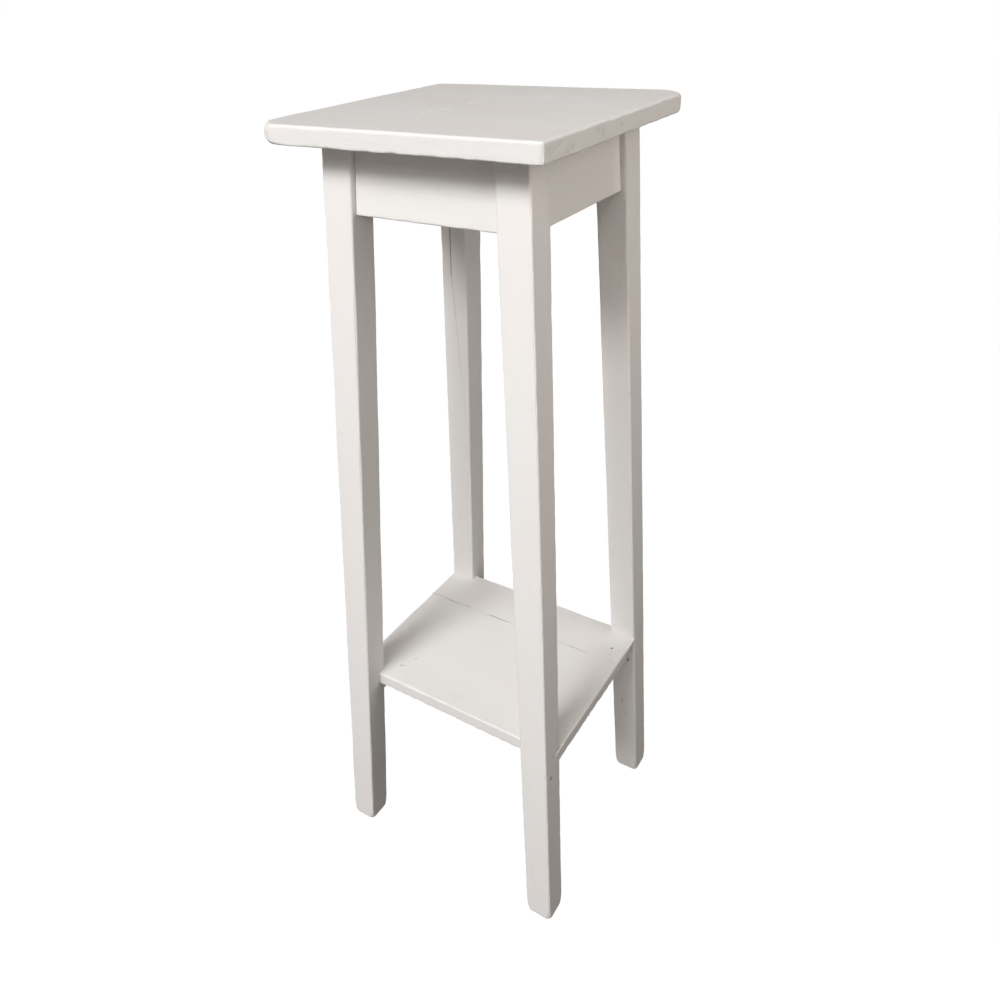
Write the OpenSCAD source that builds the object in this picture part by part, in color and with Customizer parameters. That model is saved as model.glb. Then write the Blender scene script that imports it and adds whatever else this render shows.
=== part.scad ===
// Painted wooden pedestal: a square top on four splayed legs, with aprons and a low two-board shelf.
// Millimetres, +Z up. The origin is on the floor, at the centre of the rectangle round the four feet.
// X runs from side to side and Y from front to back. The aprons lean with the legs; the shelf's ends are plumb.

/* [Overall] */
// Height from the floor to the top board's upper face
overall_h = 900; // [760:10:1040]
// Width over the feet at the floor, side to side
foot_w = 310; // [302:1:330]
// Depth over the feet at the floor, front to back
foot_d = 296; // [290:1:320]

/* [Top board] */
// Width of the top board
top_w = 280; // [264:1:290]
// Depth of the top board
top_d = 280; // [264:1:284]
// Thickness of the top board
top_t = 16.5; // [15:0.5:24]
// How far the top board sits off centre towards the left
top_shift_left = 4; // [0:0.5:6]
// How far the top board sits off centre towards the front
top_shift_front = 2.5; // [0:0.5:5]
// Radius of the top board's corners, apart from the front right one
top_corner_r = 16; // [4:0.5:24]
// Radius of the top board's front right corner
top_sharp_corner_r = 4; // [2:0.5:24]

/* [Legs] */
// Section of each square leg
leg_w = 32.5; // [30:0.5:38]
// Width over the legs just under the top board
leg_span_w = 207; // [200:1:220]
// Depth over the legs just under the top board
leg_span_d = 207; // [200:1:220]

/* [Aprons] */
// Height of the four aprons
apron_h = 63.5; // [60:0.5:80]
// Thickness of the four aprons
apron_t = 18; // [15:0.5:18]
// Step from a leg's outer face back to the apron's outer face
apron_inset = 6; // [4:0.5:10]
// Leg of the triangular corner blocks inside the aprons
block_side = 46; // [40:1:52]
// Height of the corner blocks
block_h = 24; // [22:1:30]

/* [Shelf] */
// Height from the floor to the shelf's upper face
shelf_z = 259; // [200:1:300]
// Thickness of the two shelf boards
shelf_t = 18; // [16:1:20]
// Step from a leg's front face back to the shelf's front edge
shelf_setback = 22; // [16:1:26]
// Distance from the centre back to the joint between the shelf boards
shelf_joint_y = 50; // [30:1:60]
// Width of the cleats under the shelf's ends
cleat_w = 20; // [16:1:22]
// Height of the cleats under the shelf's ends
cleat_h = 20; // [18:1:28]

/* [Fixings] */
// Diameter of the wooden dowels
dowel_d = 8; // [6:0.5:8]
// Length of the wooden dowels
dowel_len = 30; // [24:1:30]
// Shank diameter of the screws that hold the top board
screw_d = 4; // [3:0.5:4.5]
// Length of the screws that hold the top board
screw_len = 34; // [32:1:36]
// Shank diameter of the shelf nails
nail_d = 2.2; // [1.8:0.1:2.8]
// Length of the shelf nails
nail_len = 32; // [28:1:32]

/* [Hidden] */

$fn = 48;
// More than twice the object's height, for the cutting solids, which are centred on the floor
big = 2400;
// Gap left where a board is let in round a leg, and at the shelf's joint
fit_gap = 0.3;
// Radial slack of a dowel, screw or nail in its hole
hole_slack = 0.05;
// Extra depth of a blind hole past the end of what sits in it
hole_end_slack = 0.5;

frame_h = overall_h - top_t;
lean_x = atan((foot_w - leg_span_w) / 2 / frame_h);
lean_y = atan((foot_d - leg_span_d) / 2 / frame_h);
apron_z = frame_h - apron_h;
shelf_under_z = shelf_z - shelf_t;
shelf_mid_z = shelf_z - shelf_t / 2;
shelf_half_w = outer_x(shelf_mid_z);
shelf_half_d = outer_y(shelf_mid_z) - shelf_setback;
cleat_mid_z = shelf_under_z - cleat_h / 2;
// The cleats lie in line with the legs, stepped out a little from the legs' inner side faces
cleat_step = 3;
cleat_x = inner_x(cleat_mid_z) + cleat_step + cleat_w / 2;

// Dowel heights below the top board; the side aprons' dowels are stepped down to miss the others
dowel_drops_wide = [15, 42];
dowel_drops_side = [27, 54];

// Corner block screw: head size and its place in from the block's right-angled corner
screw_head_d = 8;
screw_head_h = 2.4;
screw_inset = 15;

// Shelf nails: head size, depth under the surface, and places from front to back
nail_head_d = 4.6;
nail_head_h = 0.8;
nail_set = 1;
nail_places_y = [-87, -27, 74];

// Half the width or depth over the legs at a height, to a leg's outer or inner face
function outer_x(z) = foot_w / 2 - z * tan(lean_x);
function outer_y(z) = foot_d / 2 - z * tan(lean_y);
function inner_x(z) = outer_x(z) - leg_w / cos(lean_x);
function inner_y(z) = outer_y(z) - leg_w / cos(lean_y);

// Centre planes of the aprons at a height
function apron_mid_x(z) = outer_x(z) - (apron_inset + apron_t / 2) / cos(lean_x);
function apron_mid_y(z) = outer_y(z) - (apron_inset + apron_t / 2) / cos(lean_y);

// A layer of wood leaning with the right-hand legs, from inset to inset + thick inside their outer faces
module layer_x(inset, thick) {
    translate([foot_w / 2, 0, 0])
        rotate([0, -lean_x, 0])
            translate([-inset - thick, -big / 2, -big / 2])
                cube([thick, big, big]);
}

// The same for the rear legs
module layer_y(inset, thick) {
    translate([0, foot_d / 2, 0])
        rotate([lean_y, 0, 0])
            translate([-big / 2, -inset - thick, -big / 2])
                cube([big, thick, big]);
}

module layer_z(low, high) {
    translate([-big / 2, -big / 2, low])
        cube([big, big, high - low]);
}

// Moves a rear right-hand shape to another corner; side and end are 1 or -1
module at_corner(side, end) {
    flip_x = side > 0 ? 0 : 1;
    flip_y = end > 0 ? 0 : 1;
    mirror([flip_x, 0, 0])
        mirror([0, flip_y, 0])
            children();
}

// The four corners, as side and end
corners = [[-1, -1], [1, -1], [-1, 1], [1, 1]];

// Straight dowel lying along X or Y with its middle at the origin
module dowel_x(d, len) {
    rotate([0, 90, 0])
        cylinder(d = d, h = len, center = true);
}

module dowel_y(d, len) {
    rotate([90, 0, 0])
        cylinder(d = d, h = len, center = true);
}

// The dowels between a rear right-hand leg and its two aprons, grown by slack for the holes
module corner_dowels(slack, end_slack) {
    for (drop = dowel_drops_wide) {
        z = frame_h - drop;
        translate([inner_x(z), apron_mid_y(z), z])
            dowel_x(dowel_d + 2 * slack, dowel_len + 2 * end_slack);
    }
    for (drop = dowel_drops_side) {
        z = frame_h - drop;
        translate([apron_mid_x(z), inner_y(z), z])
            dowel_y(dowel_d + 2 * slack, dowel_len + 2 * end_slack);
    }
}

// The dowel between a rear right-hand leg and the cleat under the shelf
module cleat_dowel(slack, end_slack) {
    translate([cleat_x, inner_y(cleat_mid_z), cleat_mid_z])
        dowel_y(dowel_d + 2 * slack, dowel_len + 2 * end_slack);
}

module leg_blank(clearance) {
    intersection() {
        layer_x(-clearance, leg_w + 2 * clearance);
        layer_y(-clearance, leg_w + 2 * clearance);
        layer_z(0, frame_h);
    }
}

// Countersunk wood screw standing head down, point up, with the head's face at the origin
module wood_screw(slack, end_slack) {
    cylinder(d1 = screw_head_d + 2 * slack, d2 = screw_d + 2 * slack, h = screw_head_h);
    cylinder(d = screw_d + 2 * slack, h = screw_len + end_slack);
}

// Places of the corner block screws, from the centre
function screw_x() = inner_x(frame_h) + leg_w - apron_inset - apron_t - screw_inset;
function screw_y() = inner_y(frame_h) + leg_w - apron_inset - apron_t - screw_inset;

module at_block_screws() {
    for (corner = corners)
        translate([corner[0] * screw_x(), corner[1] * screw_y(), frame_h - block_h])
            children();
}

// Flat-headed nail with its point down and the top of its head at the origin
module nail(slack, end_slack) {
    translate([0, 0, -nail_head_h - slack])
        cylinder(d = nail_head_d + 2 * slack, h = nail_head_h + slack);
    translate([0, 0, -nail_len - end_slack])
        cylinder(d = nail_d + 2 * slack, h = nail_len + end_slack);
}

module at_nails() {
    for (side = [-1, 1])
        for (y = nail_places_y)
            translate([side * cleat_x, y, shelf_z - nail_set])
                children();
}

// ---- top board ----

module top_board() {
    color("whitesmoke")
        difference() {
            translate([-top_shift_left, -top_shift_front, frame_h])
                rounded_board(top_w, top_d, top_t, top_corner_r, top_sharp_corner_r);
            at_block_screws()
                wood_screw(hole_slack, hole_end_slack);
        }
}

// A board centred on the origin and standing on z = 0, with radius r at three corners
// and its own radius at the front right one
module rounded_board(w, d, t, r, r_front_right) {
    linear_extrude(height = t)
        polygon([
            [-w / 2 + r, -d / 2],
            [w / 2 - r_front_right, -d / 2],
            [w / 2, -d / 2 + r_front_right],
            [w / 2, d / 2 - r],
            [w / 2 - r, d / 2],
            [-w / 2 + r, d / 2],
            [-w / 2, d / 2 - r],
            [-w / 2, -d / 2 + r]
        ]);
    for (corner = corners) {
        radius = corner == [1, -1] ? r_front_right : r;
        translate([corner[0] * (w / 2 - radius), corner[1] * (d / 2 - radius), 0])
            cylinder(r = radius, h = t);
    }
}

// ---- legs ----

module leg(side, end) {
    color("linen")
        at_corner(side, end)
            difference() {
                leg_blank(0);
                corner_dowels(hole_slack, hole_end_slack);
                cleat_dowel(hole_slack, hole_end_slack);
            }
}

// ---- aprons ----

// Front or rear apron, between the legs' inner side faces
module apron_wide(end) {
    color("seashell")
        at_corner(1, end)
            difference() {
                intersection() {
                    layer_y(apron_inset, apron_t);
                    layer_z(apron_z, frame_h);
                }
                for (side = [1, -1])
                    at_corner(side, 1) {
                        layer_x(-big + leg_w, big);
                        corner_dowels(hole_slack, hole_end_slack);
                    }
            }
}

// Left or right apron, between the legs' inner front and rear faces
module apron_side(side) {
    color("seashell")
        at_corner(side, 1)
            difference() {
                intersection() {
                    layer_x(apron_inset, apron_t);
                    layer_z(apron_z, frame_h);
                }
                for (end = [1, -1])
                    at_corner(1, end) {
                        layer_y(-big + leg_w, big);
                        corner_dowels(hole_slack, hole_end_slack);
                    }
            }
}

// ---- corner blocks ----

// Three-cornered block glued behind two aprons and round the leg, with a screw up into the top board
module corner_block(side, end) {
    reach_x = outer_x(frame_h);
    reach_y = outer_y(frame_h);
    depth = apron_inset + apron_t;
    color("burlywood")
        at_corner(side, end)
            difference() {
                translate([0, 0, frame_h - block_h])
                    linear_extrude(height = block_h)
                        polygon([
                            [reach_x, reach_y],
                            [reach_x - depth - block_side, reach_y],
                            [reach_x - depth - block_side, reach_y - depth],
                            [reach_x - depth, reach_y - depth - block_side],
                            [reach_x, reach_y - depth - block_side]
                        ]);
                layer_x(-big + depth, big);
                layer_y(-big + depth, big);
                leg_blank(fit_gap / 2);
                translate([screw_x(), screw_y(), frame_h - block_h])
                    wood_screw(hole_slack, hole_end_slack);
            }
}

// ---- shelf ----

// A shelf board from y = low to y = high, let in round the legs and drilled for its nails
module shelf_board(low, high) {
    color("ivory")
        difference() {
            translate([-shelf_half_w, low, shelf_under_z])
                cube([2 * shelf_half_w, high - low, shelf_t]);
            for (corner = corners)
                at_corner(corner[0], corner[1])
                    leg_blank(fit_gap);
            at_nails()
                nail_hole();
        }
}

// The nail's own shape, open to the surface above its sunk head
module nail_hole() {
    nail(hole_slack, 0);
    cylinder(d = nail_head_d + 2 * hole_slack, h = nail_set + 1);
}

module shelf_board_front() {
    shelf_board(-shelf_half_d, shelf_joint_y - fit_gap / 2);
}

module shelf_board_rear() {
    shelf_board(shelf_joint_y + fit_gap / 2, shelf_half_d);
}

// A cleat under the shelf's end, between a front and a rear leg
module shelf_cleat(side) {
    color("wheat")
        at_corner(side, 1)
            difference() {
                translate([cleat_x - cleat_w / 2, -big / 2, shelf_under_z - cleat_h])
                    cube([cleat_w, big, cleat_h]);
                for (end = [1, -1])
                    at_corner(1, end) {
                        layer_y(-big + leg_w, big);
                        cleat_dowel(hole_slack, hole_end_slack);
                    }
                at_nails()
                    nail(hole_slack, hole_end_slack);
            }
}

// ---- fixings ----

module apron_dowels() {
    color("tan")
        for (corner = corners)
            at_corner(corner[0], corner[1])
                corner_dowels(0, 0);
}

module cleat_dowels() {
    color("tan")
        for (corner = corners)
            at_corner(corner[0], corner[1])
                cleat_dowel(0, 0);
}

module top_screws() {
    color("goldenrod")
        at_block_screws()
            wood_screw(0, 0);
}

module shelf_nails() {
    color("gray")
        at_nails()
            nail(0, 0);
}

top_board();
leg(-1, -1);  // leg_front_left
leg(1, -1);  // leg_front_right
leg(-1, 1);  // leg_rear_left
leg(1, 1);  // leg_rear_right
apron_wide(-1);  // apron_front
apron_wide(1);  // apron_rear
apron_side(-1);  // apron_left
apron_side(1);  // apron_right
corner_block(-1, -1);  // block_front_left
corner_block(1, -1);  // block_front_right
corner_block(-1, 1);  // block_rear_left
corner_block(1, 1);  // block_rear_right
shelf_board_front();
shelf_board_rear();
shelf_cleat(-1);  // shelf_cleat_left
shelf_cleat(1);  // shelf_cleat_right
apron_dowels();
cleat_dowels();
top_screws();
shelf_nails();
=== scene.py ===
"""Looks of the painted pedestal: dense hand-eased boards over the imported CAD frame, procedurally painted."""
import math
import bpy
import numpy as np
from mathutils import Euler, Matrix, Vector

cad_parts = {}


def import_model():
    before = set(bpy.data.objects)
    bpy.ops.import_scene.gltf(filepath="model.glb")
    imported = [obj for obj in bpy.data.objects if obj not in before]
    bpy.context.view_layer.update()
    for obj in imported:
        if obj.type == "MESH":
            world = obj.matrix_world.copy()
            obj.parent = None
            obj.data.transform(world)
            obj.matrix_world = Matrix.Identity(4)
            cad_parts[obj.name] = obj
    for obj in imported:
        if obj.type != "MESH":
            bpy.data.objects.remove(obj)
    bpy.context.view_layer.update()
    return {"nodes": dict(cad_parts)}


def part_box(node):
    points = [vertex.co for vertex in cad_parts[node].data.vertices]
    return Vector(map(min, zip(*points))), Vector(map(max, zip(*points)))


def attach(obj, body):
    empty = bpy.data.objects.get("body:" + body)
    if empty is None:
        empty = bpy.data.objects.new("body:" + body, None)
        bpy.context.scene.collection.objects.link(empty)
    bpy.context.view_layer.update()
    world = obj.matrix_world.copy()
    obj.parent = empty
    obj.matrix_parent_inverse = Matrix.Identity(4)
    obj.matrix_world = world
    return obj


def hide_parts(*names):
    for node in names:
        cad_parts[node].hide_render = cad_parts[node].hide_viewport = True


MM = 0.001
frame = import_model()


# ---------------------------------------------------------------- mesh helpers

# Distances from an edge at which a board gets a line of points, so that its rounding comes out smooth
EASED_LINES = np.array([0, 0.25, 0.55, 0.9, 1.35, 1.9, 2.6, 3.5, 4.8, 6.5, 9]) * MM


def node_points(node):
    """A CAD node's vertices."""
    mesh = frame["nodes"][node].data
    points = np.empty(len(mesh.vertices) * 3)
    mesh.vertices.foreach_get("co", points)
    return points.reshape(-1, 3)


def level_rectangle(node, high):
    """The lowest and highest corner of a CAD node's cross-section at its bottom or at its top."""
    points = node_points(node)
    z = points[:, 2].max() if high else points[:, 2].min()
    level = points[np.abs(points[:, 2] - z) < 0.05 * MM]
    return level.min(0), level.max(0)


def lines(length, step, finer=(), fine_step=0.45 * MM, fine_reach=3.2 * MM):
    """Places of the lattice lines along a board's side, closer at its ends and round the places in finer."""
    near = EASED_LINES[EASED_LINES < length * 0.3]
    count = max(2, int(round((length - 2 * near[-1]) / step)))
    places = [near, length - near, np.linspace(near[-1], length - near[-1], count + 1)]
    for centre in finer:
        places.append(np.arange(centre - fine_reach, centre + fine_reach, fine_step))
    places = np.unique(np.concatenate(places))
    places = places[(places >= 0) & (places <= length)]
    keep = [places[0]]
    for place in places[1:-1]:
        if place - keep[-1] > 0.2 * MM and length - place > 0.2 * MM:
            keep.append(place)
    return np.array(keep + [length])


def lattice(xs, ys, zs, wood=None):
    """Points and outward quads of the skin of a block of cells. wood says which cells of the plan exist."""
    nx, ny, nz = len(xs), len(ys), len(zs)
    if wood is None:
        wood = np.ones((nx - 1, ny - 1), bool)

    def number(i, j, k):
        return (i * ny + j) * nz + k

    quads = []
    i, j = np.nonzero(wood)
    low = [number(i, j, 0), number(i, j + 1, 0), number(i + 1, j + 1, 0), number(i + 1, j, 0)]
    quads.append(np.stack(low, 1))
    k = nz - 1
    high = [number(i, j, k), number(i + 1, j, k), number(i + 1, j + 1, k), number(i, j + 1, k)]
    quads.append(np.stack(high, 1))
    padded = np.pad(wood, 1)
    here = padded[1:-1, 1:-1]
    walls = (
        (here & ~padded[:-2, 1:-1], (0, 1), (0, 0)),
        (here & ~padded[2:, 1:-1], (1, 0), (1, 1)),
        (here & ~padded[1:-1, :-2], (0, 0), (1, 0)),
        (here & ~padded[1:-1, 2:], (1, 1), (0, 1)),
    )
    for mask, start, end in walls:
        i, j = np.nonzero(mask)
        for k in range(nz - 1):
            a = number(i + start[0], j + start[1], k)
            b = number(i + end[0], j + end[1], k)
            quads.append(np.stack([a, b, b + 1, a + 1], 1))
    quads = np.concatenate(quads)
    used, flat = np.unique(quads.ravel(), return_inverse=True)
    i, j, k = used // (ny * nz), used // nz % ny, used % nz
    return np.stack([xs[i], ys[j], zs[k]], 1), flat.reshape(-1, 4)


def edge_distance(points, low, high):
    """How far each point on a board's skin is from the nearest arris."""
    away = np.minimum(points - low, high - points)
    return np.sort(away, axis=1)[:, 1]


def round_profile(side, rim, radius):
    """Rounds the corner between a wall and a rim. side and rim are the distances in from the two faces."""
    centre_side = np.maximum(side, radius)
    centre_rim = np.maximum(rim, radius)
    out_side, out_rim = side - centre_side, rim - centre_rim
    length = np.maximum(np.hypot(out_side, out_rim), 1e-12)
    near = (side < radius) & (rim < radius)
    new_side = np.where(near, centre_side + out_side / length * radius, side)
    new_rim = np.where(near, centre_rim + out_rim / length * radius, rim)
    return new_side, new_rim


def round_board(points, size, axis, corners, low_rim, high_rim):
    """Rounds a board whose skin fills 0 to size. corners are the radii of the four edges along axis, in the
    order front left, front right, rear left, rear right. The rims are the radii round its two ends, and each
    is smaller than the corners. A radius is one number, or one for each point."""
    order = [a for a in range(3) if a != axis] + [axis]
    p = points[:, order].copy()
    s = np.array(size)[order]
    from_low = p[:, 2] < s[2] / 2
    rim = np.where(from_low, p[:, 2], s[2] - p[:, 2])
    radius = np.where(from_low, low_rim, high_rim)
    left = p[:, 0] < s[0] / 2
    front = p[:, 1] < s[1] / 2
    dx = np.where(left, p[:, 0], s[0] - p[:, 0])
    dy = np.where(front, p[:, 1], s[1] - p[:, 1])
    corner = np.choose(left * 1 + front * 2, [corners[3], corners[2], corners[1], corners[0]])
    inset = np.minimum(dx, dy)
    new_inset, new_rim = round_profile(inset, rim, radius)

    def squeeze(d):
        share = (d - inset) / np.maximum(corner - inset, 1e-9)
        return np.where(d < corner, new_inset + share * (corner - new_inset), d)

    dx, dy = np.where(inset < corner, squeeze(dx), dx), np.where(inset < corner, squeeze(dy), dy)
    vx, vy = corner - dx, corner - dy
    both = (vx > 0) & (vy > 0)
    scale = np.where(both, np.maximum(vx, vy) / np.maximum(np.hypot(vx, vy), 1e-12), 1)
    dx, dy = np.where(both, corner - vx * scale, dx), np.where(both, corner - vy * scale, dy)
    p[:, 0] = np.where(left, dx, s[0] - dx)
    p[:, 1] = np.where(front, dy, s[1] - dy)
    p[:, 2] = np.where(from_low, new_rim, s[2] - new_rim)
    result = np.empty_like(points)
    result[:, order] = p
    return result


def point_normals(points, quads):
    """Unit normals of a closed quad mesh at its points."""
    diagonal_1 = points[quads[:, 2]] - points[quads[:, 0]]
    diagonal_2 = points[quads[:, 3]] - points[quads[:, 1]]
    faces = np.cross(diagonal_1, diagonal_2)
    normals = np.zeros_like(points)
    for column in range(4):
        np.add.at(normals, quads[:, column], faces)
    return normals / np.maximum(np.linalg.norm(normals, axis=1, keepdims=True), 1e-15)


def ripple(points, seed, wavelength, stretch=(1, 1, 1)):
    """Smooth seeded noise of about unit size, from a few sine waves in random directions."""
    rng = np.random.default_rng(seed)
    scaled = points * np.array(stretch)
    total = np.zeros(len(points))
    for _ in range(8):
        direction = rng.normal(size=3)
        direction /= np.linalg.norm(direction)
        turns = scaled @ direction / (wavelength * rng.uniform(0.6, 1.8))
        total += np.sin(2 * math.pi * (turns + rng.uniform()))
    return total / 2


class Board:
    """A board being shaped: its points, quads, grain coordinates and the masks that its paint reads."""

    def __init__(self, name, xs, ys, zs, wood=None):
        self.name = name
        self.points, self.quads = lattice(xs, ys, zs, wood)
        self.size = np.array([xs[-1], ys[-1], zs[-1]])
        self.flat = self.points.copy()
        self.edge = edge_distance(self.flat, 0, self.size)
        self.dirt_and_shade = np.zeros(len(self.points))
        self.worn = np.zeros(len(self.points))
        self.pale = np.zeros(len(self.points))
        self.stain = np.zeros(len(self.points))

    def grain(self, axis, seed):
        """Coordinates for the paint. X runs along the grain, and each board has its own place in it."""
        others = [a for a in range(3) if a != axis]
        rng = np.random.default_rng(seed)
        self.along = self.flat[:, [axis] + others] + rng.uniform(0, 3, 3)

    def move(self, low, high):
        """Stretches the board from its own box to the leaning space between two level rectangles."""
        share = self.points / self.size
        x0 = low[0][0] + (high[0][0] - low[0][0]) * share[:, 2]
        x1 = low[1][0] + (high[1][0] - low[1][0]) * share[:, 2]
        y0 = low[0][1] + (high[0][1] - low[0][1]) * share[:, 2]
        y1 = low[1][1] + (high[1][1] - low[1][1]) * share[:, 2]
        z = low[0][2] + (high[0][2] - low[0][2]) * share[:, 2]
        self.points = np.stack([x0 + (x1 - x0) * share[:, 0], y0 + (y1 - y0) * share[:, 1], z], 1)

    def find_normals(self):
        self.normals = point_normals(self.points, self.quads)

    def hand_plane(self, seed, depth, wavelength=0.05, stretch=(1, 1, 1)):
        """Lowers the skin a little and unevenly, never raising it, as planing and sanding do."""
        wave = 0.5 + 0.5 * np.clip(ripple(self.points, seed, wavelength, stretch) / 2, -1, 1)
        self.points -= self.normals * (depth * wave)[:, None]

    def wear_edges(self, seed, depth, reach=1.6 * MM):
        """Rubs the arrises down unevenly."""
        near = np.exp(-((self.edge / reach) ** 2))
        wave = 0.35 + 0.5 * ripple(self.flat, seed, 0.03) + 0.3 * ripple(self.flat, seed + 1, 0.008)
        wave = np.clip(wave, 0, 1.5)
        self.points -= self.normals * (depth * near * wave)[:, None]

    def press(self, centre, radius, depth, dirt_and_shade=0.0, sharp=2.0, stretch=(1, 1, 1)):
        """A dent, or with a high sharp a steep-sided hole, at a place in the row frame."""
        away = np.linalg.norm((self.points - np.array(centre)) / np.array(stretch), axis=1) / radius
        shape = np.exp(-(away ** sharp))
        self.points -= self.normals * (depth * shape)[:, None]
        self.dirt_and_shade = np.maximum(self.dirt_and_shade, dirt_and_shade * np.exp(-((away / 1.1) ** max(2.0, sharp))))

    def ring(self, centre, radius, width, dirt_and_shade):
        """A thin dark circle, where filler has shrunk away round a nail."""
        away = np.linalg.norm(self.points - np.array(centre), axis=1)
        shape = np.exp(-(((away - radius) / width) ** 2))
        self.points -= self.normals * (0.12 * MM * shape)[:, None]
        self.dirt_and_shade = np.maximum(self.dirt_and_shade, dirt_and_shade * shape)

    def brighten(self, centre, radius, amount, stretch=(1, 1, 1)):
        """A scuffed or thickly painted place that shows paler."""
        away = np.linalg.norm((self.points - np.array(centre)) / np.array(stretch), axis=1) / radius
        self.pale = np.maximum(self.pale, amount * np.exp(-(away ** 3)))

    def trail(self, places, width, depth, dirts):
        """A crack that runs through several places, darker in some stretches than in others."""
        for start, end, dirt_and_shade in zip(places[:-1], places[1:], dirts):
            self.score(start, end, width, depth, dirt_and_shade, square=True)

    def score(self, start, end, width, depth, dirt_and_shade=0.0, square=False):
        """A groove, scratch or crack from start to end; its ends taper off unless it is square."""
        start, end = np.array(start), np.array(end)
        run = end - start
        share = np.clip((self.points - start) @ run / (run @ run), 0, 1)
        away = np.linalg.norm(self.points - start - share[:, None] * run, axis=1)
        fade = 1 if square else np.sin(np.clip(share, 0.02, 0.98) * math.pi) ** 0.4
        shape = np.exp(-((away / width) ** 2)) * fade
        self.points -= self.normals * (depth * shape)[:, None]
        self.dirt_and_shade = np.maximum(self.dirt_and_shade, dirt_and_shade * shape)

    def chips(self, seed, start, end, count, radius, depth, worn=1.0):
        """Small chips along an arris."""
        rng = np.random.default_rng(seed)
        start, end = np.array(start), np.array(end)
        for _ in range(count):
            centre = start + (end - start) * rng.uniform()
            size = radius * rng.uniform(0.5, 1.3)
            away = np.linalg.norm(self.points - centre, axis=1) / size
            shape = np.exp(-(away ** 2.5))
            self.points -= self.normals * (depth * rng.uniform(0.4, 1.2) * shape)[:, None]
            self.worn = np.maximum(self.worn, worn * shape)

    def build(self, material, replaces, slot):
        """Makes the Blender object and hangs it on the frame."""
        mesh = bpy.data.meshes.new(self.name)
        mesh.from_pydata(self.points.tolist(), [], self.quads.tolist())
        mesh.polygons.foreach_set("use_smooth", [True] * len(mesh.polygons))
        stored = {"edge": np.exp(-self.edge / (2.2 * MM)), "dirt_and_shade": self.dirt_and_shade, "worn": self.worn}
        stored.update({"pale": self.pale, "stain": self.stain})
        for name, values in stored.items():
            attribute = mesh.attributes.new(name, "FLOAT", "POINT")
            attribute.data.foreach_set("value", values.astype(np.float32))
        attribute = mesh.attributes.new("grain", "FLOAT_VECTOR", "POINT")
        attribute.data.foreach_set("vector", self.along.astype(np.float32).ravel())
        mesh.update()
        piece = bpy.data.objects.new(self.name, mesh)
        bpy.context.scene.collection.objects.link(piece)
        piece.data.materials.append(material)
        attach(piece, "root")
        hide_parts(replaces)
        return piece


# ---------------------------------------------------------------- material helpers


class Nodes:
    """A short way to write a material's node tree."""

    def __init__(self, name):
        self.material = bpy.data.materials.new(name)
        self.material.use_nodes = True
        self.tree = self.material.node_tree
        self.shader = self.tree.nodes["Principled BSDF"]

    def add(self, kind, **settings):
        node = self.tree.nodes.new(kind)
        for key, value in settings.items():
            setattr(node, key, value)
        return node

    def link(self, output, socket):
        self.tree.links.new(output, socket)

    def attribute(self, name):
        return self.add("ShaderNodeAttribute", attribute_name=name)

    def scaled(self, vector, scale):
        node = self.add("ShaderNodeVectorMath", operation="MULTIPLY")
        self.link(vector, node.inputs[0])
        node.inputs[1].default_value = scale
        return node.outputs[0]

    def noise(self, vector, scale, detail=3.0, roughness=0.5, distortion=0.0):
        node = self.add("ShaderNodeTexNoise")
        self.link(vector, node.inputs["Vector"])
        node.inputs["Scale"].default_value = scale
        node.inputs["Detail"].default_value = detail
        node.inputs["Roughness"].default_value = roughness
        node.inputs["Distortion"].default_value = distortion
        return node.outputs["Fac"]

    def spread(self, value, low, high, to_low=0.0, to_high=1.0):
        node = self.add("ShaderNodeMapRange", interpolation_type="SMOOTHSTEP")
        self.link(value, node.inputs["Value"])
        node.inputs["From Min"].default_value = low
        node.inputs["From Max"].default_value = high
        node.inputs["To Min"].default_value = to_low
        node.inputs["To Max"].default_value = to_high
        return node.outputs["Result"]

    def math(self, operation, a, b):
        node = self.add("ShaderNodeMath", operation=operation)
        for socket, value in zip(node.inputs, (a, b)):
            if isinstance(value, (int, float)):
                socket.default_value = value
            else:
                self.link(value, socket)
        return node.outputs[0]

    def mix(self, factor, a, b):
        node = self.add("ShaderNodeMix", data_type="RGBA")
        for socket, value in ((node.inputs[0], factor), (node.inputs[6], a), (node.inputs[7], b)):
            if isinstance(value, (int, float)):
                socket.default_value = value
            elif isinstance(value, tuple):
                socket.default_value = (*value, 1)
            else:
                self.link(value, socket)
        return node.outputs[2]

    def bump(self, height, distance, strength=1.0, below=None):
        node = self.add("ShaderNodeBump")
        self.link(height, node.inputs["Height"])
        node.inputs["Distance"].default_value = distance
        node.inputs["Strength"].default_value = strength
        if below is not None:
            self.link(below, node.inputs["Normal"])
        return node.outputs["Normal"]

    def finish(self, colour, roughness, normal):
        self.link(colour, self.shader.inputs["Base Color"])
        self.link(roughness, self.shader.inputs["Roughness"])
        self.link(normal, self.shader.inputs["Normal"])
        return self.material


# ---------------------------------------------------------------- materials

# Colours that show in or through the paint; some of them also stand for painted highlight, shade or bounce
# light, as noted
STAIN = (0.66, 0.54, 0.45)
# Paler colour along the arrises: partly rubbed paint, partly a painted highlight
RUBBED_AND_HIGHLIGHT = (0.86, 0.83, 0.77)
BARE_SPOT = (0.42, 0.36, 0.29)
WORN = (0.62, 0.57, 0.5)
# Paler places: scuffs and thick paint, and at the right apron's rear end also painted bounce light
PALE = (0.93, 0.915, 0.89)
# Darkens dirty marks, cracks, holes and joints, and is also painted shade where the shelf meets the legs
DIRT_AND_SHADE = (0.05, 0.045, 0.04)


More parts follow.
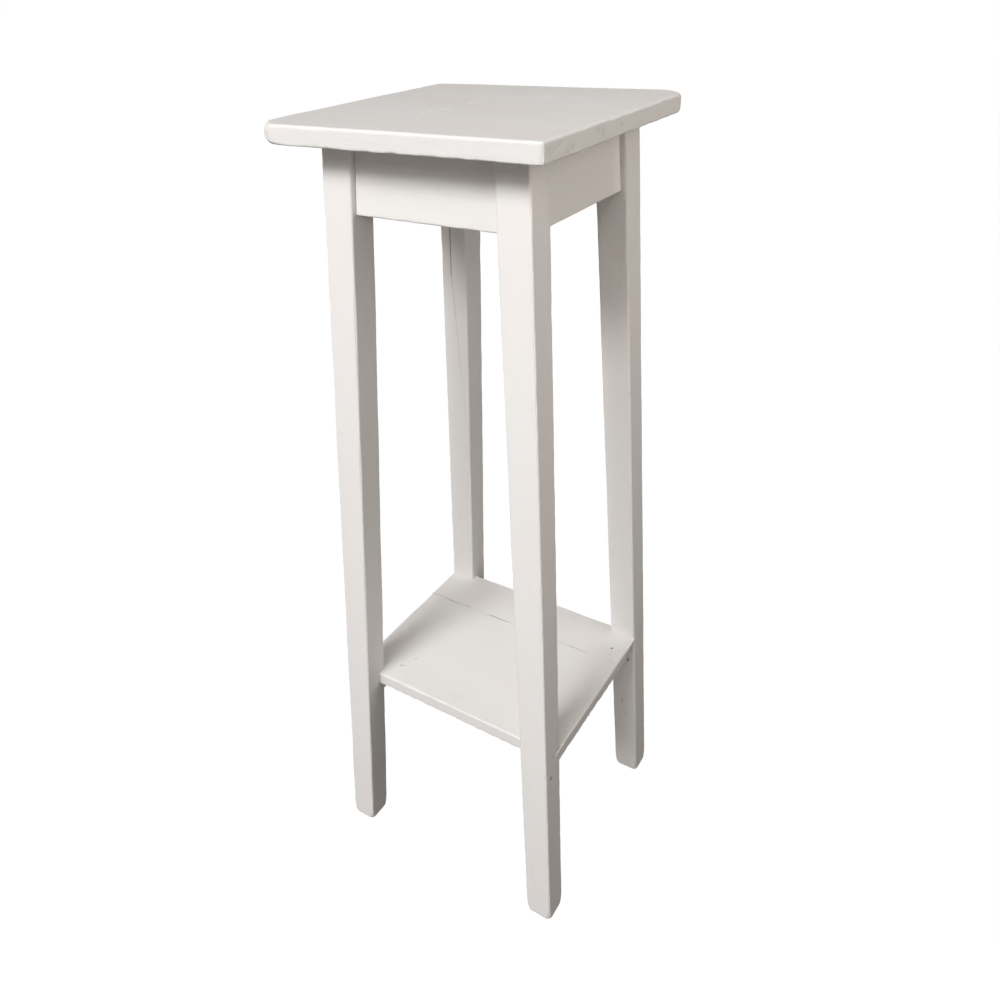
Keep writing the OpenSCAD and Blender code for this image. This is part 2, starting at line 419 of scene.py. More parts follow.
def paint(name, warm, cool, grain_depth=0.00016, wear_and_highlight=0.5, speckle=0.5, streak=1.0):
    """Off-white satin paint over softwood: brush marks, grain, drifting tint, and arrises turned paler, partly
    by wear and partly as a painted highlight.

    warm and cool are its two tints, grain_depth is in metres, and the edge wear with its painted highlight,
    speckle and streak are amounts."""
    n = Nodes(name)
    grain = n.attribute("grain").outputs["Vector"]
    fibre = n.noise(n.scaled(grain, (1, 16, 16)), 55, 6, 0.6, 0.3)
    ring = n.noise(n.scaled(grain, (0.35, 7, 7)), 22, 2, 0.45, 1.2)
    brush = n.noise(n.scaled(grain, (1, 42, 42)), 26, 3, 0.55)
    cloud = n.noise(n.scaled(grain, (0.6, 1.6, 1.6)), 9, 4, 0.55)
    fine = n.noise(grain, 700, 3, 0.6)
    blotch = n.noise(grain, 60, 4, 0.6)
    colour = n.mix(n.spread(cloud, 0.35, 0.65), warm, cool)
    darker = tuple(c * 0.86 for c in warm)
    brushed = tuple(min(1, c * 1.07) for c in cool)
    colour = n.mix(n.spread(ring, 0.45, 0.75, 0, 0.22 * streak), colour, darker)
    colour = n.mix(n.spread(fibre, 0.5, 0.75, 0, 0.3 * streak), colour, darker)
    colour = n.mix(n.spread(brush, 0.5, 0.72, 0, 0.35 * streak), colour, brushed)
    soiled = n.noise(n.scaled(grain, (1, 3, 3)), 24, 5, 0.65, 0.6)
    colour = n.mix(n.spread(soiled, 0.5, 0.72, 0, 0.3 * streak), colour, tuple(c * 0.9 for c in warm))
    bled = n.math("MULTIPLY", n.attribute("stain").outputs["Fac"], n.spread(fibre, 0.3, 0.6, 0.35, 1.0))
    colour = n.mix(bled, colour, STAIN)
    stain = n.math("MULTIPLY", n.spread(blotch, 0.62, 0.74), speckle * 0.35)
    colour = n.mix(stain, colour, tuple(c * 0.72 for c in warm))
    edge = n.attribute("edge").outputs["Fac"]
    # Arrises turned paler: partly rubbed paint, partly a painted highlight along them
    rubbed_and_highlight = n.math("MULTIPLY", n.spread(edge, 0.55, 0.95), n.spread(blotch, 0.5, 0.62))
    colour = n.mix(n.math("MULTIPLY", rubbed_and_highlight, wear_and_highlight), colour, RUBBED_AND_HIGHLIGHT)
    bare_spot = n.math("MULTIPLY", n.spread(edge, 0.8, 1.0), n.spread(fine, 0.66, 0.72))
    bare_spot = n.math("MULTIPLY", bare_spot, wear_and_highlight * 0.8)
    colour = n.mix(bare_spot, colour, BARE_SPOT)
    worn = n.math("MULTIPLY", n.attribute("worn").outputs["Fac"], n.spread(blotch, 0.4, 0.55))
    colour = n.mix(n.math("MULTIPLY", worn, 0.6), colour, WORN)
    # Paler with scuffs and thick paint, and at the right apron's rear end with painted bounce light
    colour = n.mix(n.attribute("pale").outputs["Fac"], colour, PALE)
    # Darker with dirt, and with painted shade where the shelf meets the legs
    dirt_and_shade = n.attribute("dirt_and_shade").outputs["Fac"]
    colour = n.mix(dirt_and_shade, colour, DIRT_AND_SHADE)
    roughness = n.math("ADD", n.spread(cloud, 0.3, 0.7, 0.42, 0.56), n.spread(fibre, 0.4, 0.8, 0, 0.14))
    normal = n.bump(cloud, 0.004, 0.25)
    normal = n.bump(ring, grain_depth * 1.5, 0.6, normal)
    normal = n.bump(fibre, grain_depth, 0.8, normal)
    normal = n.bump(brush, grain_depth, 0.8, normal)
    normal = n.bump(fine, 0.00008, 0.5, normal)
    return n.finish(colour, roughness, normal)


def bare_wood(name, early, late, axis, ring_scale=90):
    """Planed bare wood with growth rings and fine fibre along one axis."""
    n = Nodes(name)
    place = n.add("ShaderNodeTexCoord").outputs["Object"]
    stretch = [1.0, 1.0, 1.0]
    stretch[axis] = 0.07
    stretched = n.scaled(place, tuple(stretch))
    ring = n.noise(stretched, ring_scale, 2, 0.4, 2.5)
    fibre = n.noise(stretched, 900, 4, 0.6)
    cloud = n.noise(place, 14, 3, 0.5)
    colour = n.mix(n.spread(ring, 0.38, 0.62), early, late)
    colour = n.mix(n.spread(fibre, 0.5, 0.75, 0, 0.4), colour, tuple(c * 0.7 for c in late))
    colour = n.mix(n.spread(cloud, 0.4, 0.7, 0, 0.35), colour, tuple(c * 0.8 for c in early))
    roughness = n.spread(fibre, 0.3, 0.7, 0.55, 0.75)
    normal = n.bump(ring, 0.0003, 0.6)
    normal = n.bump(fibre, 0.00015, 0.8, normal)
    return n.finish(colour, roughness, normal)


def steel(name, bright, dull, roughness):
    """Plain fixing steel, tarnished in patches."""
    n = Nodes(name)
    place = n.add("ShaderNodeTexCoord").outputs["Object"]
    patch = n.noise(place, 260, 4, 0.6)
    turned = n.noise(n.scaled(place, (1, 1, 14)), 900, 3, 0.5)
    colour = n.mix(n.spread(patch, 0.4, 0.65), bright, dull)
    colour = n.mix(n.spread(turned, 0.5, 0.8, 0, 0.3), colour, tuple(c * 0.6 for c in dull))
    n.shader.inputs["Metallic"].default_value = 0.85
    rough = n.spread(patch, 0.3, 0.7, roughness, roughness + 0.25)
    return n.finish(colour, rough, n.bump(turned, 0.00006, 0.7))


def floor_material():
    """A pale sweep, lit from within so that it stays an even white behind and under the object."""
    n = Nodes("studio_sweep")
    place = n.add("ShaderNodeTexCoord").outputs["Object"]
    mottle = n.noise(place, 3, 3, 0.5)
    colour = n.mix(n.spread(mottle, 0.3, 0.7), (0.02, 0.02, 0.02), (0.025, 0.025, 0.025))
    n.shader.inputs["Emission Color"].default_value = (1, 1, 1, 1)
    n.shader.inputs["Emission Strength"].default_value = 1.0
    n.shader.inputs["Specular IOR Level"].default_value = 0.0
    return n.finish(colour, n.spread(mottle, 0.3, 0.7, 0.9, 0.95), n.bump(mottle, 0.0005, 0.1))


# The top is the same white paint as the legs, tinted darker as painted shade for the dimmer light on its top
# face
TOP_PAINT_SHADED = paint("top_paint", (0.762, 0.742, 0.727), (0.736, 0.74, 0.726), 0.00011, 0.6, 0.5, 0.65)
LEG_PAINT = paint("leg_paint", (0.80, 0.775, 0.76), (0.78, 0.778, 0.762), 0.00008, 0.5, 0.4, 0.4)
APRON_PAINT = paint("apron_paint", (0.79, 0.762, 0.745), (0.772, 0.767, 0.75), 0.00008, 0.4, 0.4, 0.45)
SHELF_PAINT = paint("shelf_paint", (0.785, 0.763, 0.748), (0.775, 0.772, 0.757), 0.00005, 0.7, 0.6, 0.25)
PINE = bare_wood("bare_pine", (0.60, 0.42, 0.25), (0.42, 0.26, 0.13), 2)
BEECH = bare_wood("dowel_beech", (0.62, 0.45, 0.30), (0.50, 0.34, 0.21), 0, 300)
SCREW_STEEL = steel("screw_steel", (0.66, 0.57, 0.34), (0.42, 0.36, 0.22), 0.28)
NAIL_STEEL = steel("nail_steel", (0.30, 0.28, 0.26), (0.12, 0.09, 0.07), 0.45)


# ---------------------------------------------------------------- boards


# The top's corner radii in plan, and the rounding of its lower and upper rims along the sides and at each
# corner, all in the order front left, front right, rear left, rear right
TOP_CORNERS = (24 * MM, 3.2 * MM, 6 * MM, 24 * MM)
TOP_LOWER_RIM, TOP_LOWER_RIM_AT_CORNERS = 1.5 * MM, (7 * MM, 1.4 * MM, 3 * MM, 5.5 * MM)
TOP_UPPER_RIM, TOP_UPPER_RIM_AT_CORNERS = 2.4 * MM, (8 * MM, 2.2 * MM, 4 * MM, 7 * MM)


def top_board():
    """The square top, with end grain on its left and right. The front right corner is sharp, and the front
    left and rear right ones are worn round."""
    low, high = (np.array(corner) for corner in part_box("top_board"))
    size = high - low
    steps = (1.5 * MM, 1.5 * MM, 1.2 * MM)
    board = Board("top_board_piece", *(lines(length, step) for length, step in zip(size, steps)))
    board.grain(0, 11)
    lower = rim_towards_corners(board.points, size, TOP_LOWER_RIM, TOP_LOWER_RIM_AT_CORNERS)
    upper = rim_towards_corners(board.points, size, TOP_UPPER_RIM, TOP_UPPER_RIM_AT_CORNERS)
    board.points = round_board(board.points, size, 2, TOP_CORNERS, lower, upper)
    board.points += low
    board.find_normals()
    board.hand_plane(21, 0.35 * MM, 0.09)
    board.wear_edges(22, 0.45 * MM)
    return board, low, high


def rim_towards_corners(points, size, plain, at_corners):
    """A rim radius for each point: plain along the sides, and turning to its own value at each corner."""
    radius = np.full(len(points), plain)
    places = ((0, 0), (size[0], 0), (0, size[1]), (size[0], size[1]))
    for (x, y), value in zip(places, at_corners):
        away = np.hypot(points[:, 0] - x, points[:, 1] - y)
        radius += (value - plain) * np.exp(-((away / (18 * MM)) ** 2))
    return radius


def mark_top(board, low, high):
    """Dents in the right end grain, a few rubbed places on top, and chips along the right arris."""
    x, y, z = high[0], low[1], high[2]
    dents = ((46, 11, 0.7), (88, 6, 0.4), (97, 9, 0.5), (131, 8, 0.4), (38, 13, 0.6))
    scuffs = ((-22, 13, 3.5), (-21, -28, 2.2), (-29, -43, 1.8), (-26, -57, 1.5), (30, 60, 2))
    board.chips(31, (x, y, z), (x, high[1], z), 46, 1.6 * MM, 0.4 * MM, 0.5)
    board.chips(32, (low[0], y, z), (x, y, z), 12, 1.4 * MM, 0.22 * MM, 0.3)
    board.chips(33, (low[0], y, low[2]), (x, y, low[2]), 12, 1.8 * MM, 0.3 * MM, 0.4)
    board.score((x, y + 12 * MM, z - 11 * MM), (x, y + 30 * MM, z - 4 * MM), 1.0 * MM, 0.5 * MM, 0.1)
    board.score((x, y + 5 * MM, z - 9 * MM), (x, y + 16 * MM, z - 5 * MM), 0.9 * MM, 0.4 * MM, 0.1)
    for along, down, depth in dents:
        board.press((x, y + along * MM, z - down * MM), 2.0 * MM, depth * MM, 0.18)
    for at_x, at_y, length in scuffs:
        board.brighten((at_x * MM, at_y * MM, z), 2.4 * MM, 1.0, (length * 0.6, 1, 1))
        board.press((at_x * MM, at_y * MM, z), 2.0 * MM, 0.2 * MM)


# A leg's arris radius, and how much rounder it gets towards the foot and over what height
LEG_ARRIS, FOOT_EXTRA, FOOT_HEIGHT = 2.1 * MM, 5 * MM, 12 * MM
FOOT_RIM = 5.2 * MM


def leg(node, seed, fine_x=(), fine_y=(), fine_z=(), reach=3.2 * MM):
    """A square leg lofted from its foot to its head, its arrises eased by hand and its foot worn rounder.
    The lattice is finer round the places in fine_x, fine_y and fine_z."""
    low, high = level_rectangle(node, False), level_rectangle(node, True)
    size = np.array([low[1][0] - low[0][0], low[1][1] - low[0][1], high[0][2] - low[0][2]])
    xs = lines(size[0], 2.6 * MM, fine_x, 0.4 * MM, reach)
    ys = lines(size[1], 2.6 * MM, fine_y, 0.4 * MM, 3.2 * MM)
    board = Board(node + "_piece", xs, ys, lines(size[2], 3.2 * MM, fine_z))
    board.grain(2, seed)
    corner = LEG_ARRIS + FOOT_EXTRA * np.exp(-((board.points[:, 2] / FOOT_HEIGHT) ** 2))
    board.points = round_board(board.points, size, 2, [corner] * 4, FOOT_RIM, 0.5 * MM)
    board.move(low, high)
    board.find_normals()
    board.hand_plane(seed + 1, 0.35 * MM, 0.07, (1, 1, 0.35))
    board.wear_edges(seed + 2, 0.5 * MM)
    return board, low, high


def leg_line(low, high, x_share, y_share, z):
    """A point on or in a leg at a height, by shares of its width and depth."""
    share = (z - low[0][2]) / (high[0][2] - low[0][2])
    corner = low[0] + (high[0] - low[0]) * share
    size = (low[1] - low[0]) + ((high[1] - high[0]) - (low[1] - low[0])) * share
    return np.array([corner[0] + size[0] * x_share, corner[1] + size[1] * y_share, z])


# Heights between which the legs' arrises are chipped, and below which they are chipped more
CHIPPED_FROM, CHIPPED_TO, KICKED_BELOW = 0.005, 0.86, 0.09


def leg_arris_chips(board, low, high, seed, count):
    """A few chips along the four long arrises, more of them near the foot."""
    for turn, (x_share, y_share) in enumerate(((0, 0), (1, 0), (0, 1), (1, 1))):
        start = leg_line(low, high, x_share, y_share, CHIPPED_FROM)
        end = leg_line(low, high, x_share, y_share, CHIPPED_TO)
        board.chips(seed + turn, start, end, count, 1.8 * MM, 0.4 * MM, 0.6)
        near_foot = leg_line(low, high, x_share, y_share, KICKED_BELOW)
        board.chips(seed + 10 + turn, start, near_foot, 3, 1.8 * MM, 0.5 * MM, 0.7)


def front_left_leg():
    board, low, high = leg("leg_front_left", 101)
    leg_arris_chips(board, low, high, 110, 5)
    return board


def front_right_leg():
    """Carries an open nail hole and a filled one on its right face, beside the shelf."""
    open_y, open_z = 12.3 * MM, 0.2329
    filled_y, filled_z = 17.4 * MM, 0.2594
    board, low, high = leg("leg_front_right", 201, (), (open_y, filled_y), (open_z, filled_z))
    leg_arris_chips(board, low, high, 210, 5)
    board.press(leg_line(low, high, 1, 0.37, open_z), 1.6 * MM, 0.8 * MM, 0.98, 4, (1, 1.4, 1.15))
    board.press(leg_line(low, high, 1, 0.57, filled_z), 1.5 * MM, 0.25 * MM, 0.05, 3)
    board.ring(leg_line(low, high, 1, 0.57, filled_z), 1.7 * MM, 0.4 * MM, 0.3)
    return board


def rear_left_leg():
    """Has a drying crack down its front face, open just below the apron and closing on its way down."""
    board, low, high = leg("leg_rear_left", 301, (20 * MM,), (), (), 9 * MM)
    leg_arris_chips(board, low, high, 310, 5)
    course = ((0.38, 0.765), (0.385, 0.711), (0.52, 0.661), (0.69, 0.5905), (0.86, 0.5245))
    places = [leg_line(low, high, x_share, 0, z) for x_share, z in course]
    board.trail(places[:2], 0.55 * MM, 1.1 * MM, (0.9,))
    board.trail(places[1:], 0.4 * MM, 0.5 * MM, (0.6, 0.35, 0.2))
    return board


# The stained stretch of the rear right leg: the height where it starts to show and over what height it
# grows, the height where it ends and over what height it fades
STAIN_START, STAIN_GROWS, STAIN_END, STAIN_FADES = 0.52, 0.2, 0.88, 0.03


def rear_right_leg():
    """Has a chip on its front arris, a nail hole beside the shelf, kick marks near the floor, and wood stain
    that bleeds through the paint below the apron."""
    nail_z, chip_z, knot_z = 0.2185, 0.61, 0.765
    marks = ((0.39, 0.138, 6, 0.5), (0.56, 0.117, 4, 0.4), (0.23, 0.077, 5, 0.45), (0.23, 0.043, 3, 0.35))
    board, low, high = leg("leg_rear_right", 401, (14 * MM, 23 * MM), (), (nail_z,), 5 * MM)
    leg_arris_chips(board, low, high, 410, 6)
    board.press(leg_line(low, high, 1, 0, chip_z), 2.2 * MM, 1.1 * MM, 0.3, 2.5)
    board.press(leg_line(low, high, 0.71, 0, nail_z), 1.2 * MM, 1.6 * MM, 0.9, 4, (1, 1, 1.9))
    for x_share, z, length, dirt_and_shade in marks:
        start = leg_line(low, high, x_share, 0, z + length * MM)
        end = leg_line(low, high, x_share + 0.03, 0, z - length * MM)
        board.score(start, end, 0.6 * MM, 0.3 * MM, dirt_and_shade)
    front = np.clip(1 - board.flat[:, 1] / (5 * MM), 0, 1)
    z = board.points[:, 2]
    grown = np.clip((z - STAIN_START) / STAIN_GROWS, 0, 1)
    board.stain = 0.25 * front * grown * np.clip((STAIN_END - z) / STAIN_FADES, 0, 1)
    knot = leg_line(low, high, 0.8, 0, knot_z)
    away = np.linalg.norm((board.points - knot) / np.array((1, 1, 9)), axis=1) / (4 * MM)
    board.stain = np.maximum(board.stain, 0.5 * np.exp(-(away ** 2)))
    return board


def apron(node, axis, seed):
    """An apron between two legs; its lower arrises are eased and its ends butt against the legs."""
    low, high = level_rectangle(node, False), level_rectangle(node, True)
    size = np.array([low[1][0] - low[0][0], low[1][1] - low[0][1], high[0][2] - low[0][2]])
    steps = [2.2 * MM, 2.2 * MM, 2.2 * MM]
    steps[axis] = 2.8 * MM
    board = Board(node + "_piece", *(lines(size[a], steps[a]) for a in range(3)))
    board.grain(axis, seed)
    corners = [1.6 * MM, 1.6 * MM, 0.8 * MM, 0.8 * MM]
    board.points = round_board(board.points, size, axis, corners, 0.35 * MM, 0.35 * MM)
    board.move(low, high)
    board.find_normals()
    board.hand_plane(seed + 1, 0.3 * MM, 0.06)
    board.wear_edges(seed + 2, 0.3 * MM)
    start = (low[0][0], low[0][1], low[0][2])
    end = (low[1][0], low[0][1], low[0][2]) if axis == 0 else (low[0][0], low[1][1], low[0][2])
    board.chips(seed + 3, start, end, 8, 1.6 * MM, 0.35 * MM, 0.4)
    if node == "apron_right":
        # Paler on the outer face towards the rear end, beside the rear right leg: partly thicker paint, partly
        # painted bounce light from the lit leg
        rear_end = np.clip((board.points[:, 1] - high[1][1] + 17 * MM) / (7 * MM), 0, 1)
        board.pale = 0.4 * rear_end * np.clip(board.flat[:, 0] / (6 * MM) - 2, 0, 1)
    return board


def shelf_nail_places():
    """The middles of the shelf's six nails in plan, from the CAD nails' heads."""
    points = node_points("shelf_nails")
    heads = points[points[:, 2] > points[:, 2].max() - 0.05 * MM][:, :2]
    places = []
    for head in heads:
        if not any(np.linalg.norm(head - np.mean(group, axis=0)) < 6 * MM for group in places):
            places.append([])
            places[-1].append(head)
        else:
            group = min(places, key=lambda g: np.linalg.norm(head - np.mean(g, axis=0)))
            group.append(head)
    return [np.mean(group, axis=0) for group in places]


def shelf_board(node, seed, fine_x=(), fine_y=()):
    """A shelf board, let in round the legs at its outer corners."""
    low, high = (np.array(corner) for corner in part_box(node))
    size = high - low
    rear = node.endswith("rear")
    points = node_points(node)
    outer = high[1] if rear else low[1]
    tongue = points[np.abs(points[:, 1] - outer) < 0.05 * MM]
    notch_x = tongue[:, 0].min() - low[0]
    wide = points[np.abs(points[:, 0] - low[0]) < 0.05 * MM]
    limit_y = (wide[:, 1].max() if rear else wide[:, 1].min()) - low[1]
    nails = [place - low[:2] for place in shelf_nail_places() if low[1] < place[1] < high[1]]
    near_x = [notch_x, size[0] - notch_x] + [place[0] for place in nails] + [x - low[0] for x in fine_x]
    near_y = [limit_y] + [place[1] for place in nails] + [y - low[1] for y in fine_y]
    xs = lines(size[0], 1.1 * MM, sorted(set(np.round(near_x, 4))), 0.45 * MM, 3.2 * MM)
    ys = lines(size[1], 2.2 * MM, sorted(set(np.round(near_y, 4))), 0.45 * MM, 3.2 * MM)
    xs[np.abs(xs - notch_x).argmin()] = notch_x
    xs[np.abs(xs - (size[0] - notch_x)).argmin()] = size[0] - notch_x
    ys[np.abs(ys - limit_y).argmin()] = limit_y
    x_middle, y_middle = (xs[:-1] + xs[1:]) / 2, (ys[:-1] + ys[1:]) / 2
    in_notch_x = (x_middle < notch_x) | (x_middle > size[0] - notch_x)
    in_notch_y = y_middle > limit_y if rear else y_middle < limit_y
    wood = ~(in_notch_x[:, None] & in_notch_y[None, :])
    board = Board(node + "_piece", xs, ys, lines(size[2], 1.4 * MM), wood)
    board.grain(0, seed)
    soften_notched(board, notch_x, limit_y, rear, 1.5 * MM)
    board.points += low
    wander_joint(board, rear)
    board.find_normals()
    board.hand_plane(seed + 1, 0.3 * MM, 0.06)
    board.wear_edges(seed + 2, 0.45 * MM)
    return board, low, high


def soften_notched(board, notch_x, limit_y, rear, radius):
    """Rounds a notched board's arrises, each point within the part of the board that it belongs to. The
    sawn edges along the joint and in the notches stay crisp; dirt and painted shade darken it by the legs."""
    p = board.flat
    small = 1e-7
    tongue = p[:, 1] > limit_y + small if rear else p[:, 1] < limit_y - small
    low, high = np.zeros_like(p), np.tile(board.size, (len(p), 1))
    low[tongue, 0], high[tongue, 0] = notch_x, board.size[0] - notch_x
    outside = (p[:, 0] < notch_x - small) | (p[:, 0] > board.size[0] - notch_x + small)
    if rear:
        high[outside, 1] = limit_y
    else:
        low[outside, 1] = limit_y
    board.edge = edge_distance(p, low, high)
    from_joint = p[:, 1] if rear else board.size[1] - p[:, 1]
    from_notch = np.full(len(p), 1.0)
    across = np.minimum(np.abs(p[:, 0] - notch_x), np.abs(board.size[0] - notch_x - p[:, 0]))
    from_notch[tongue] = across[tongue]
    from_notch[outside] = np.abs(p[outside, 1] - limit_y)
    sawn = (from_joint < radius) | (from_notch < radius)
    size = np.where(sawn, 0.3 * MM, radius)[:, None]
    inner = np.clip(p, low + size, high - size)
    out = p - inner
    length = np.maximum(np.linalg.norm(out, axis=1, keepdims=True), 1e-12)
    board.points = inner + out / length * np.minimum(size, np.abs(out).max(axis=1, keepdims=True))
    # Darkens the shelf in a band beside the legs: partly dirt, partly painted shade where shelf and legs meet
    board.dirt_and_shade = np.maximum(board.dirt_and_shade, 0.75 * np.exp(-((from_notch / (1.9 * MM)) ** 2)))
    board.edge = np.where(sawn, 9 * MM, board.edge)


def wander_joint(board, rear):
    """Lets the joint between the boards wander a little; paint has filled it towards the right-hand end."""
    x = board.points[:, 0]
    from_joint = board.flat[:, 1] if rear else board.size[1] - board.flat[:, 1]
    along = np.stack([x, np.zeros_like(x), np.zeros_like(x)], 1)
    sway = np.clip(ripple(along, 77, 0.05), -1.5, 1.5) * 0.7 * MM
    board.points[:, 1] += sway * np.exp(-((from_joint / (14 * MM)) ** 2))
    open_share = 0.36 + 0.24 * np.clip(ripple(along, 78, 0.02), -1, 1)
    open_share = open_share * np.clip((0.112 - x) / 0.05, 0, 1)
    board.dirt_and_shade = np.maximum(board.dirt_and_shade, open_share * np.exp(-((from_joint / (0.5 * MM)) ** 2)))


def front_shelf_board():
    """The wider board: filled nails at its ends, three pin holes at its left front, a rough lower arris."""
    pins = ((-92, -88), (-89, -87), (-83, -69))
    fine_x, fine_y = [x * MM for x, _ in pins], [y * MM for _, y in pins]
    board, low, high = shelf_board("shelf_board_front", 501, fine_x, fine_y)
    for place in shelf_nail_places():
        if low[1] < place[1] < high[1]:
            board.press((*place, high[2]), 2.0 * MM, 0.2 * MM, 0.0, 3)
            board.ring((*place, high[2]), 2.3 * MM, 0.6 * MM, 0.14)
    for x, y in pins:
        board.press((x * MM, y * MM, high[2]), 0.85 * MM, 0.5 * MM, 0.9, 3)
    half_front, side_rear = 0.1, 0.05
    front, right = low[1], high[0]
    front_chips = ((510, low[2], 80, 1.6, 0.75, 0.9), (511, high[2], 14, 1.4, 0.35, 0.4))
    right_chips = ((512, low[2], 36, 1.8, 0.8, 0.7), (513, high[2], 10, 1.4, 0.35, 0.4))
    for seed, z, count, radius, depth, worn in front_chips:
        start, end = (-half_front, front, z), (half_front, front, z)
        board.chips(seed, start, end, count, radius * MM, depth * MM, worn)
    for seed, z, count, radius, depth, worn in right_chips:
        start, end = (right, -half_front, z), (right, side_rear, z)
        board.chips(seed, start, end, count, radius * MM, depth * MM, worn)
    for x, y in ((-120, 45), (-123, -22)):
        board.press((x * MM, y * MM, high[2]), 3.5 * MM, 0.15 * MM, 0.05)
        board.ring((x * MM, y * MM, high[2]), 3.0 * MM, 0.9 * MM, 0.1)
    return board


def rear_shelf_board():
    """The narrow board: an open nail hole at its right end, where the lower edge has split away."""
    board, low, high = shelf_board("shelf_board_rear", 601)
    for place in shelf_nail_places():
        if low[1] < place[1] < high[1]:
            if place[0] > 0:
                board.press((*place, high[2]), 1.5 * MM, 0.95 * MM, 0.85, 4)
                board.press((place[0] + 4 * MM, place[1] - 12 * MM, high[2]), 1.0 * MM, 0.2 * MM, 0.25)
            else:
                board.press((*place, high[2]), 2.0 * MM, 0.3 * MM, 0.05, 3)
    board.press((63 * MM, 56 * MM, high[2]), 3.5 * MM, 0.15 * MM, 0.06)
    split_away(board, low, high)
    return board


def split_away(board, low, high):
    """Tapers the underside of the rear board's right end, where a wedge of wood has broken off."""
    y_start, y_full, reach = 77 * MM, 100 * MM, 16 * MM
    x, y, z = board.points.T
    along = np.clip((y - y_start) / (y_full - y_start), 0, 1)
    inward = np.clip((x - (high[0] - reach)) / reach, 0, 1) ** 0.6
    rough = 1 + 0.05 * ripple(board.points, 640, 0.007, (1, 1, 0.3))
    cut = 0.78 * along ** 0.9 * inward * np.clip(rough, 0.8, 1.15)
    board.points[:, 2] = high[2] - (high[2] - z) * (1 - np.minimum(cut, 0.85))
    from_top = high[2] - z
    broken = np.clip(cut * 6, 0, 1) * np.clip((from_top - 4 * MM) / (6 * MM), 0, 1)
    board.worn = np.maximum(board.worn, broken)
    board.stain = np.maximum(board.stain, 0.5 * broken)
    board.find_normals()


def cleat(node, seed):
    """A painted strip under the shelf's end, between a front and a rear leg."""
    low, high = level_rectangle(node, False), level_rectangle(node, True)
    size = np.array([low[1][0] - low[0][0], low[1][1] - low[0][1], high[0][2] - low[0][2]])
    board = Board(node + "_piece", *(lines(size[a], s * MM) for a, s in enumerate((2.4, 3, 2.4))))
    board.grain(1, seed)
    corners = [1.4 * MM, 1.4 * MM, 0.6 * MM, 0.6 * MM]
    board.points = round_board(board.points, size, 1, corners, 0.3 * MM, 0.3 * MM)
    board.move(low, high)
    board.find_normals()
    board.hand_plane(seed + 1, 0.3 * MM, 0.05)
    return board


def dress_cad_nodes():
    """Gives the fixings and blocks that stay as packed an eased edge and their own finish."""
    finishes = {
        "apron_dowels": BEECH, "cleat_dowels": BEECH, "top_screws": SCREW_STEEL, "shelf_nails": NAIL_STEEL,
    }
    for block in ("block_front_left", "block_front_right", "block_rear_left", "block_rear_right"):
        finishes[block] = PINE
    for node, material in finishes.items():
        thing = frame["nodes"][node]
        thing.data.materials.clear()
        thing.data.materials.append(material)
        weld = thing.modifiers.new("weld", "WELD")
        weld.merge_threshold = 0.005 * MM
        bevel = thing.modifiers.new("eased_edges", "BEVEL")
        bevel.width = 0.8 * MM if node.startswith("block") else 0.25 * MM
        bevel.segments = 3
        bevel.limit_method = "ANGLE"
        bevel.angle_limit = math.radians(40)


# ---------------------------------------------------------------- studio


def area_light(name, place, target, size, power, colour):
    """A soft light at a place, turned to a target. size is its width and height."""
    data = bpy.data.lights.new(name, "AREA")
    data.shape = "ELLIPSE"
    data.size, data.size_y = size
    data.energy = power
    data.color = colour
    light = bpy.data.objects.new(name, data)
    light.location = place
    light.visible_camera = False
    light.rotation_euler = (Vector(target) - Vector(place)).to_track_quat("-Z", "Y").to_euler()
    bpy.context.scene.collection.objects.link(light)
    return light


def floor():
    """A wide pale floor that curves up into a wall all round. It gives the object no light and takes no
    shadow from it."""
    flat_rings = [(0, 0), (1, 0), (3, 0), (8, 0)]
    rings = flat_rings + [(11, 0.15), (13, 0.9), (14.3, 2.4), (15, 5), (15.2, 9), (15.2, 30)]
    turns = 48
    points, quads = [], []
    for radius, height in rings:
        for turn in range(turns):
            angle = 2 * math.pi * turn / turns
            points.append((radius * math.cos(angle), radius * math.sin(angle), height - 0.2 * MM))
    for ring in range(len(rings) - 1):
        for turn in range(turns):
            a, b = ring * turns + turn, ring * turns + (turn + 1) % turns
            quads.append((a, a + turns, b + turns, b))
    mesh = bpy.data.meshes.new("studio_floor")
    mesh.from_pydata(points, [], quads)
    ground = bpy.data.objects.new("studio_floor", mesh)
    bpy.context.scene.collection.objects.link(ground)
    ground.data.materials.append(floor_material())
    ground.visible_diffuse = False
    ground.visible_glossy = False
    ground.visible_shadow = False


# How strongly the room shines from each side, along the row frame's axes
ROOM_LIGHT = {(0, 0, 1): 0.053, (-1, 0, 0): 0.284, (0, -1, 0): 0.21, (0, 1, 0): 0.2}
ROOM_COLOUR = (1.071, 0.993, 0.925, 1)


